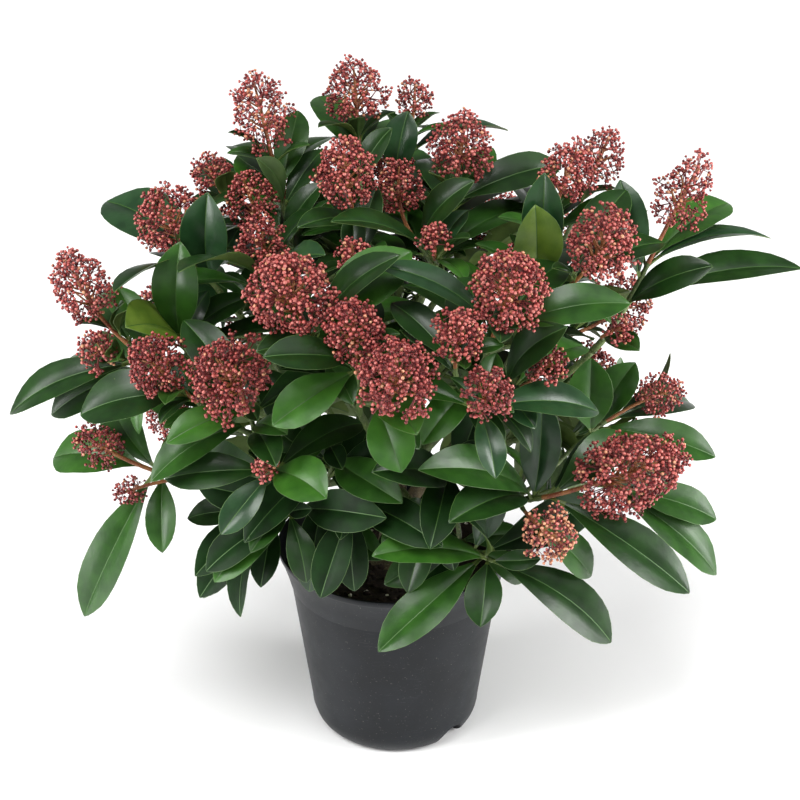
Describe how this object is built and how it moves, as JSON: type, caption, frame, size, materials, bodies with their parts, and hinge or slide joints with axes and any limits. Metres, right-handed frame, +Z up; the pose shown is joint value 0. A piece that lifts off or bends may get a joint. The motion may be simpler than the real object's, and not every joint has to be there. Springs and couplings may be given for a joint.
{
  "type": "potted skimmia",
  "caption": "Compact evergreen shrub in a tapered plastic nursery pot, with glossy pointed leaves and dense domed heads of closed dusky red flower buds.",
  "frame": {"origin": "the middle of the pot's flat underside, at mount base", "axes": "+Z up through the pot, -Y towards the side the plant is looked at from, +X to the right of it"},
  "size_m": [0.604, 0.4651, 0.5476],
  "materials": {
    "pot_plastic": "satin, lightly scuffed",
    "peat": "rough, crumbly",
    "bark": "green to grey-brown bark with fine lenticels",
    "foliage": "glossy leaves",
    "buds": "smooth closed buds"
  },
  "bodies": {
    "root": {"pot": "pot_plastic", "peat": "peat", "trunk": "bark", "leader_left": "bark", "leader_right": "bark", "leader_front": "bark", "leader_back": "bark", "leader_middle": "bark", "bough_top_left": "bark", "bough_top_middle": "bark", "bough_top_right": "bark", "bough_left_high": "bark", "bough_left": "bark", "bough_front_left": "bark", "bough_front": "bark", "bough_front_right": "bark", "bough_right_high": "bark", "bough_right": "bark", "bough_right_low": "bark", "bough_left_low": "bark", "bough_foot_left": "bark", "bough_foot_right": "bark", "bough_back_high_1": "bark", "bough_back_high_2": "bark", "bough_back_mid_1": "bark", "bough_back_mid_2": "bark", "bough_back_mid_3": "bark", "bough_back_low_1": "bark", "bough_back_low_2": "bark", "bough_back_low_3": "bark", "top_left": "foliage", "top_middle": "foliage", "top_right": "foliage", "left_high": "foliage", "left": "foliage", "front_left": "foliage", "front": "foliage", "front_right": "foliage", "right_high": "foliage", "right": "foliage", "right_low": "foliage", "left_low": "foliage", "foot_left": "foliage", "foot_right": "foliage", "back_high_1": "foliage", "back_high_2": "foliage", "back_mid_1": "foliage", "back_mid_2": "foliage", "back_mid_3": "foliage", "back_low_1": "foliage", "back_low_2": "foliage", "back_low_3": "foliage"}
  },
  "joints": []
}
